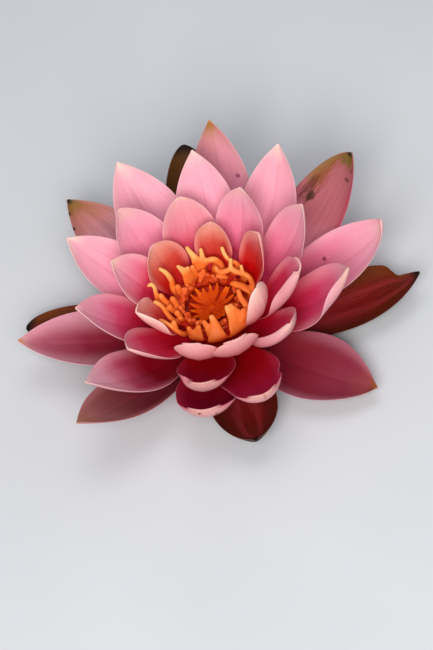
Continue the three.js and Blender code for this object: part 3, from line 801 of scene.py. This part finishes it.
def petal_face(name, stops, seed, rim, marks, rim_start=0.6, streaks=0.5):
    """One face of a petal: its colours with clouds, veins, a crease darkened partly by painted shade,
    the rim, which is partly a painted highlight, and marks.
    """
    material, shader, across, along, edge = skin_start(name, PETAL_GLOSS)
    lines = veins(across, along, seed, 44)
    cloud = across.vector(across * 1.6, along * 2.6, seed + 3).noise(1.4, 2)
    frayed = across.vector(across * 40, along * 9, seed).noise(1.6, 4, 0.65)
    crease = (1 - (edge * 16).smooth(0, 1)) * along.smooth(0.1, 0.4) * (1 - along.smooth(0.75, 1.0))
    # The deep red at the foot of each ramp is partly the petal's own colour and partly painted shade of the
    # recesses between petals.
    colour = (along + (cloud - 0.5) * 0.2).ramp(stops)
    colour = colour.tinted(VEIN_TINT, lines.smooth(0.42, 0.72) * streaks)
    # The darker band along the midrib is partly its own colour and partly painted shade in the crease.
    colour = colour.tinted(CREASE_TONE_AND_SHADE, crease * 0.5)
    # The rim colour is partly the petal's own edge and partly a painted highlight where an edge catches the
    # light.
    colour = colour.mixed(rim, edge.smooth(rim_start, 1.0) * along.smooth(0.25, 0.6) * 0.5)
    colour = marked(colour, marks, across, along, frayed)
    dress(shader, colour, lines + cloud * 0.6, 0.0003)
    feed(shader, "Roughness", lines * 0.2 + 0.4)
    return material


def add_petal(node, blade, height, seed):
    """One petal as a piece, with its own two faces."""
    inner, outer, rim = LOOKS[blade["look"]]
    front_marks, back_marks = FACE_MARKS.get(node, []), BACK_MARKS.get(node, [])
    wear = blade.get("rim", 0.6), blade.get("streaks", 0.5)
    face = petal_face(node + "_face", inner, seed * 7.3, rim, front_marks, *wear)
    back = petal_face(node + "_back", outer, seed * 5.1 + 40, rim, back_marks)
    shape = blade_shape(blade, height + blade.get("lift", 0), PETAL_THICKNESS)
    add_piece(node + "_blade", shape, [face, back], [node])


seed = 1
for whorl, (height, slot, blades) in WHORLS.items():
    for number, blade in enumerate(blades, 1):
        add_petal(f"{whorl}_{number}", blade, height, seed)
        seed += 1


# ---- Petaloid stamens ------------------------------------
# The outer stamens, grown half into petals: fleshy orange straps that stand on the rim of
# the receptacle and branch into soft finger tips, like small antlers.

# Each strap's places from its root to its tip: azimuth, distance from the middle and height,
# then half its width and half its thickness there.
STRAPS = [
    # The back pair of horns, with a limb that runs off to the right.
    [(92, 12.3, 22.5, 2.6, 0.9), (91, 14.2, 26, 2.4, 0.8), (92, 15.6, 30, 2.1, 0.8),
     (94, 16.6, 33, 1.3, 0.7), (97, 18.2, 35.2, 0.85, 0.65), (98, 19.2, 36.4, 0.7, 0.6)],
    [(90, 14.5, 28, 1.6, 0.8), (84, 15.2, 32, 1.2, 0.75), (83, 16.2, 34.2, 0.85, 0.65),
     (83, 17, 35.6, 0.7, 0.6)],
    [(88, 14.3, 28.5, 1.4, 0.8), (78, 14.6, 31, 1.2, 0.95), (68, 14.9, 31.4, 1.2, 1),
     (61, 14.9, 29.6, 1.3, 1), (56, 14.2, 27, 1.4, 1)],
    # The curved horn at the back right.
    [(42, 12.5, 22.5, 1.5, 0.8), (38, 15.4, 27, 1.5, 0.8), (36, 16.9, 29.5, 1.4, 0.8),
     (45, 15.8, 32, 1.1, 0.7), (51, 16.2, 34, 0.85, 0.65), (55, 17.3, 36.2, 0.7, 0.6)],
    # The long branch on the right, which leans in across the middle and carries two horns.
    [(-6, 12.5, 22.5, 1.8, 0.9), (-4, 16.2, 26, 1.8, 0.9), (2, 16.9, 29, 1.6, 0.9),
     (9, 16, 31, 1.4, 0.85), (24, 13.6, 31, 1.3, 0.8), (34, 13, 31.2, 1.2, 0.8),
     (44, 10.9, 30.4, 1.1, 0.8), (56, 10.4, 30.8, 1, 0.8), (60, 11.1, 31.6, 0.8, 0.7)],
    [(33, 12.9, 31, 1, 0.8), (36, 13.8, 32.8, 0.8, 0.7), (37, 14.7, 34.8, 0.65, 0.6)],
    [(14, 15, 31.2, 1, 0.75), (16, 15.3, 33, 0.8, 0.65), (17, 15.5, 34.6, 0.65, 0.55)],
    [(50, 12.2, 25, 1.3, 0.8), (42, 10.9, 27.6, 1.2, 0.8), (47, 9.8, 28.8, 1, 0.8),
     (55, 9.2, 29, 0.9, 0.7)],
    # Two straps bent in from the right.
    [(-12, 12.6, 22.5, 2.2, 0.8), (-10, 15.6, 26.5, 2.1, 0.75), (-3, 13.6, 28.4, 1.8, 0.8),
     (10, 10.9, 28.6, 1.3, 0.8), (16, 10, 28.2, 0.9, 0.7)],
    [(-44, 13, 22.5, 1.6, 0.9), (-42, 17.4, 27, 1.5, 0.85), (-37, 15.2, 29, 1.25, 0.8),
     (-29, 12.8, 30, 1.05, 0.8), (-19, 11.7, 31, 0.9, 0.75)],
    # The broad blade at the front right, with two nubs on its top and a shoulder beside them.
    [(-67, 12.6, 22.3, 4, 0.8), (-68, 16.6, 23.8, 4.6, 0.8), (-66, 19, 26.8, 4.8, 0.8),
     (-62, 16.6, 29.4, 3.9, 0.8), (-59, 13.4, 31, 1.9, 0.75), (-56, 11.8, 31.8, 1, 0.7)],
    [(-68, 16, 29.4, 1.8, 0.75), (-66, 13.2, 31.2, 1.2, 0.75), (-64, 11.6, 32.4, 0.9, 0.7)],
    [(-57, 18.4, 26, 3.2, 0.8), (-53, 18.2, 28.8, 2.6, 0.8), (-51, 17, 30.4, 1.8, 0.75)],
    # The two-fingered blade at the front.
    [(-96, 12.6, 22.3, 3.1, 0.8), (-96, 16.4, 23.6, 3.5, 0.8), (-95, 18.8, 26, 3.7, 0.85),
     (-95, 16.8, 28.4, 2.7, 0.85), (-95, 13.8, 30.3, 1.5, 0.8), (-97, 12, 31.4, 1, 0.75)],
    [(-101, 17, 27.2, 1.8, 0.8), (-106, 14.8, 29.2, 1.2, 0.8), (-111, 13.2, 30.2, 0.9, 0.75)],
    # The short blade beside it, with two nubs.
    [(-120, 12.6, 22.3, 2.7, 0.8), (-120, 16.4, 24, 3, 0.8), (-120, 18.3, 26.6, 2.9, 0.8),
     (-119, 17, 28.4, 2, 0.8), (-118, 15.6, 30.2, 1, 0.8)],
    [(-125, 17.9, 27.4, 1.6, 0.8), (-128, 17.4, 29.2, 1.1, 0.8), (-130, 17, 30.4, 0.85, 0.7)],
    # Straps on the left whose tips point away from the middle.
    [(-138, 12.8, 22.5, 1.5, 0.9), (-138, 17, 25.2, 1.5, 0.9), (-141, 19.2, 28.8, 1.3, 0.8),
     (-150, 19.8, 31, 1.1, 0.7), (-159, 20.8, 32, 0.8, 0.65), (-162, 21.4, 31.9, 0.65, 0.55)],
    [(-145, 19, 29.6, 1.1, 0.75), (-150, 18, 31.4, 0.85, 0.7)],
    [(-158, 12.6, 22.6, 1.5, 0.9), (-162, 16, 26.5, 1.5, 0.85), (-170, 17.2, 29, 1.4, 0.8),
     (179, 18.2, 30.9, 1.15, 0.75), (174, 20.2, 32.1, 0.85, 0.65)],
    [(164, 12.6, 22.8, 1.4, 0.9), (164, 17, 26.5, 1.4, 0.85), (163, 19.6, 29, 1.2, 0.8),
     (161, 20, 31.4, 1, 0.75), (158, 20.3, 34, 0.9, 0.65), (157, 21.4, 35.2, 0.75, 0.6),
     (158, 22.3, 34.9, 0.6, 0.55)],
    [(143, 12.5, 22.8, 1.6, 0.9), (142, 15.2, 27, 1.5, 0.85), (138, 16, 30.5, 1.25, 0.8),
     (137, 17, 33, 1.05, 0.7), (137, 18.2, 34.8, 0.85, 0.65), (138, 19.8, 36.2, 0.65, 0.6)],
    # Lumpy straps between them.
    [(172, 12.8, 23, 1.4, 0.9), (170, 15.6, 27, 1.3, 0.9), (168, 17, 29.6, 1.15, 0.9),
     (165, 18, 31.3, 1.05, 0.9)],
    [(176, 12.3, 23.5, 1.3, 1), (172, 13, 28, 1.2, 1), (170, 13.7, 30.4, 1.1, 1)],
    [(-178, 12.4, 23.5, 1.3, 1), (-179, 15, 27.4, 1.1, 1), (-179, 15.4, 29.6, 1.1, 1)],
    [(-165, 12.4, 23.5, 1.1, 1), (-167, 13.8, 28.6, 1, 1)],
    [(-157, 12.2, 23.5, 1, 0.9), (-158, 13.9, 27.6, 0.95, 0.9)],
    [(143, 12, 24, 1.5, 1), (143, 12.8, 27, 1.3, 1.1), (143, 13, 29.4, 1.15, 1.05)],
    # The broad plate at the back left, with its two small points.
    [(117, 11.8, 22.5, 2.2, 0.8), (116, 12.1, 28, 2.4, 0.75), (116, 12.9, 31, 2, 0.7),
     (119, 14, 33, 1.2, 0.65), (122, 15.1, 35.1, 0.65, 0.55)],
    [(111, 12.9, 30.8, 1, 0.65), (110, 13.4, 32.8, 0.65, 0.55)],
    [(103, 12.4, 22.8, 1.8, 0.8), (103, 13.2, 28.5, 1.6, 0.8), (102, 14, 30.8, 1.1, 0.7)],
    [(66, 12.2, 22.6, 2, 0.8), (66, 13.6, 26.5, 1.8, 0.8), (64, 14.6, 29, 1.3, 0.8)],
    [(20, 12.4, 22.6, 2, 0.8), (18, 15.6, 27, 1.8, 0.8), (16, 16, 29.4, 1.3, 0.8)],
]
FLESHY = (1.1, 1.2)  # swelling of every strap in width and in thickness
SPAN_STEPS = 4
RING_SIDES = 12
RING_PULL = 0.35  # how fast a strap turns its flat side to the middle of the flower
CAP_ANGLES = (30, 55, 75)  # the rings that round off a tip
VOXEL = 0.0003  # m
ORANGE_GLOW = (1, 0.35, 0.1)  # how far red, green and blue light spread inside
STAMEN_GRAIN = (0.86, 0.66, 0.5)
# The dark red foot and the bright tip are partly the straps' own colours and partly painted shade low among
# them and painted light on their tops.
STRAP_COLOURS = ((0.45, 0.012, 0.001), (0.84, 0.182, 0.03), (0.95, 0.48, 0.15))
# The low wall that the straps stand on: radius and height round its section.
WALL_PROFILE = [(10.6, 21), (13.1, 21.5), (14.2, 23.4), (14.4, 24.8), (13.6, 25.5), (12.4, 25),
                (11.4, 23.6), (10.6, 22.8)]


def smooth_line(stations):
    """Points on a smooth line through the stations, each with its half width and thickness."""
    places = []
    for azimuth, radius, height, half_width, half_thickness in stations:
        swollen = half_width * FLESHY[0], half_thickness * FLESHY[1]
        places.append([*round_the_middle(azimuth, radius, height), *swollen])
    places = [places[0], *places, places[-1]]
    line = []
    for before, start, end, after in zip(places, places[1:], places[2:], places[3:]):
        for step in range(SPAN_STEPS):
            t = step / SPAN_STEPS
            point = []
            for a, b, c, d in zip(before, start, end, after):
                bend = (2 * a - 5 * b + 4 * c - d) * t**2 + (3 * b - a - 3 * c + d) * t**3
                point.append(b + ((c - a) * t + bend) / 2)
            line.append(point)
    return line + [places[-1]]


def round_tip(line):
    """The line with more points that close its end in a dome."""
    ahead = (Vector(line[-1][:3]) - Vector(line[-2][:3])).normalized()
    x, y, z, half_width, half_thickness = line[-1]
    dome = []
    for angle in CAP_ANGLES:
        angle = radians(angle)
        reach = Vector((x, y, z)) + ahead * sin(angle) * (half_width + half_thickness) / 2
        dome.append([*reach, half_width * cos(angle), half_thickness * cos(angle)])
    return line + dome


def draw_out(shape, stations):
    """Draws one strap out of a small disk, ring by ring, and rounds off its tip."""
    line = round_tip(smooth_line(stations))
    before = None
    across = Vector((0, 0, 0))
    for number, (x, y, z, half_width, half_thickness) in enumerate(line):
        low, high = max(0, number - 1), min(len(line) - 1, number + 1)
        ahead = (Vector(line[high][:3]) - Vector(line[low][:3])).normalized()
        across += RING_PULL * Vector((-y, x, 0)).normalized()
        across = (across - ahead * across.dot(ahead)).normalized()
        axes = Matrix((across * half_width, ahead.cross(across) * half_thickness, ahead))
        here = Matrix.Translation((x, y, z)) @ axes.transposed().to_4x4()
        if before is None:
            ring = bmesh.ops.create_circle(shape, cap_ends=True, segments=RING_SIDES, radius=1, matrix=here)
            cap = [ring["verts"][0].link_faces[0]]
        else:
            first = number == 1
            pulled = bmesh.ops.extrude_face_region(shape, geom=cap, use_keep_orig=first)["geom"]
            verts = of_kind(bmesh.types.BMVert, pulled)
            bmesh.ops.transform(shape, verts=verts, matrix=here @ before.inverted())
            cap = of_kind(bmesh.types.BMFace, pulled)
        before = here


def grow_together(piece, smoothing):
    """Fuses the parts of a piece that run into each other, as they do on the flower."""
    fusing = piece.modifiers.new("fusing", "REMESH")
    fusing.mode = "VOXEL"
    fusing.voxel_size = VOXEL
    fusing.use_smooth_shade = True
    softening = piece.modifiers.new("softening", "SMOOTH")
    softening.factor = 0.5
    softening.iterations = smoothing


def stamen_material(name, colours, low, high, grain_scale, gloss=0.2):
    """The colours of the foot, the body and the tip, spread from a low to a high place: partly the
    parts' own colours and partly painted shade low down and painted light higher up.
    """
    material, shader, start = new_material(name, gloss, wax=WAX)
    shader.inputs["Subsurface Radius"].default_value = ORANGE_GLOW
    foot, body, tip = colours
    place = start.place()
    uneven = (place.noise(180) - 0.5) * 0.004
    colour = (place.axis(2) + uneven).smooth(low, high)
    colour = colour.ramp([(0, *foot), (0.08, *foot), (0.34, *body), (0.7, *body), (1, *tip)])
    grain = place.noise(grain_scale, 3, 0.6)
    colour = colour.tinted(STAMEN_GRAIN, grain.smooth(0.45, 0.8) * 0.6)
    dress(shader, colour, grain, 0.0002)
    feed(shader, "Roughness", grain * 0.2 + 0.32)
    return material


straps = bmesh.new()
turn_profile(straps, WALL_PROFILE, TURNING_STEPS, closed=True)
for stations in STRAPS:
    draw_out(straps, stations)
bmesh.ops.recalc_face_normals(straps, faces=straps.faces)
orange = stamen_material("stamen_orange", STRAP_COLOURS, 0.0225, 0.036, 1400)
strap_piece = add_piece("stamen_straps", straps, [orange], ["petaloid_stamens"], 0)
grow_together(strap_piece, 3)


# ---- Anthers ---------------------------------------------
# The inner stamens: short crowded stalks just inside the straps, each with a lumpy head of
# pollen sacs.

ANTHERS = 26
STALK_FOOT = (10.6, 21.5)  # distance from the middle, and height
STALK_BEND = 23
SAC_LENGTH = 1.6
POLLEN_COLOURS = ((0.4, 0.01, 0.001), (0.62, 0.07, 0.01), (0.8, 0.15, 0.03))

vary = random.Random(21).uniform
heads = bmesh.new()
for number in range(ANTHERS):
    azimuth = number / ANTHERS * 360 + vary(-6, 6)
    lean = vary(-5, 5)
    top = vary(25.6, 28.6)
    out = vary(10.8, 12.6)
    half_width = vary(0.8, 1.1)
    stalk = [
        (azimuth, *STALK_FOOT, half_width, 0.7),
        (azimuth + lean / 2, out - 0.3, (top + STALK_BEND) / 2, half_width, 0.75),
        (azimuth + lean, out, top, half_width * 0.9, 0.8),
    ]
    draw_out(heads, stalk)
    for lump in (-1, 0, 1):
        side = azimuth + lean + lump * vary(3, 6)
        height = top - vary(0.3, 2)
        inwards = vary(0.2, 1.4)
        root = (azimuth + lean / 2, out - 0.3, height - SAC_LENGTH, 0.75, 0.75)
        draw_out(heads, [root, (side, out - inwards, height, 0.85, 0.8)])
pollen = stamen_material("pollen_orange", POLLEN_COLOURS, 0.0215, 0.029, 1405)
head_piece = add_piece("anther_heads", heads, [pollen], ["anthers"], 0)
grow_together(head_piece, 2)


# ---- Stigma ----------------------------------------------
# The shallow disk on top of the receptacle, with a small knob in its middle and narrow
# pointed rays that run out to its rim.

RAYS = 18
DISH_STEPS = 60
DISH_PROFILE = [(0, 21), (7.6, 21), (9, 21.8), (9.4, 22.9), (9, 23), (8.3, 22.4), (6, 21.8), (3, 21.6),
                (0, 21.5)]
DISH_REDS = [(0.3, 0.28, 0.006, 0.0005), (0.7, 0.36, 0.012, 0.0008)]
RAY_COLOURS = ((0.44, 0.028, 0.0004), (0.56, 0.056, 0.001), (0.72, 0.12, 0.003))
KNOB_HEIGHT = 21.8
KNOB_HALF_SIZES = (1.2, 1.2, 0.9)

dish = bmesh.new()
turn_profile(dish, DISH_PROFILE, DISH_STEPS)
bmesh.ops.recalc_face_normals(dish, faces=dish.faces)
ember, ember_shader, ember_start = new_material("stigma_red", gloss=0.1, wax=WAX)
grain = ember_start.place().noise(1100, 3, 0.6)
dress(ember_shader, grain.ramp(DISH_REDS), grain, 0.0002)
feed(ember_shader, "Roughness", grain * 0.2 + 0.35)
add_piece("stigma_dish", dish, [ember], ["stigma"])

vary = random.Random(5).uniform
rays = bmesh.new()
for number in range(RAYS):
    azimuth = number / RAYS * 360 + vary(-7, 7)
    reach = vary(8, 9.7)
    lift = vary(0, 0.9)
    ray = [
        (azimuth, 0.8, 21.5, 0.25, 0.4),
        (azimuth, 3, 21.7, 0.5, 0.5),
        (azimuth, reach * 0.65, 22.2 + lift / 2, 0.95, 0.5),
        (azimuth, reach * 0.85, 23.1 + lift, 0.75, 0.42),
        (azimuth, reach, 24.3 + lift, 0.22, 0.25),
    ]
    draw_out(rays, ray)
knob = Matrix.Translation((0, 0, KNOB_HEIGHT)) @ Matrix.Diagonal((*KNOB_HALF_SIZES, 1))
bmesh.ops.create_uvsphere(rays, u_segments=20, v_segments=12, radius=1, matrix=knob)
flame = stamen_material("stigma_orange", RAY_COLOURS, 0.021, 0.0252, 1409, gloss=0.06)
ray_piece = add_piece("stigma_rays", rays, [flame], ["stigma"], 0)
grow_together(ray_piece, 1)
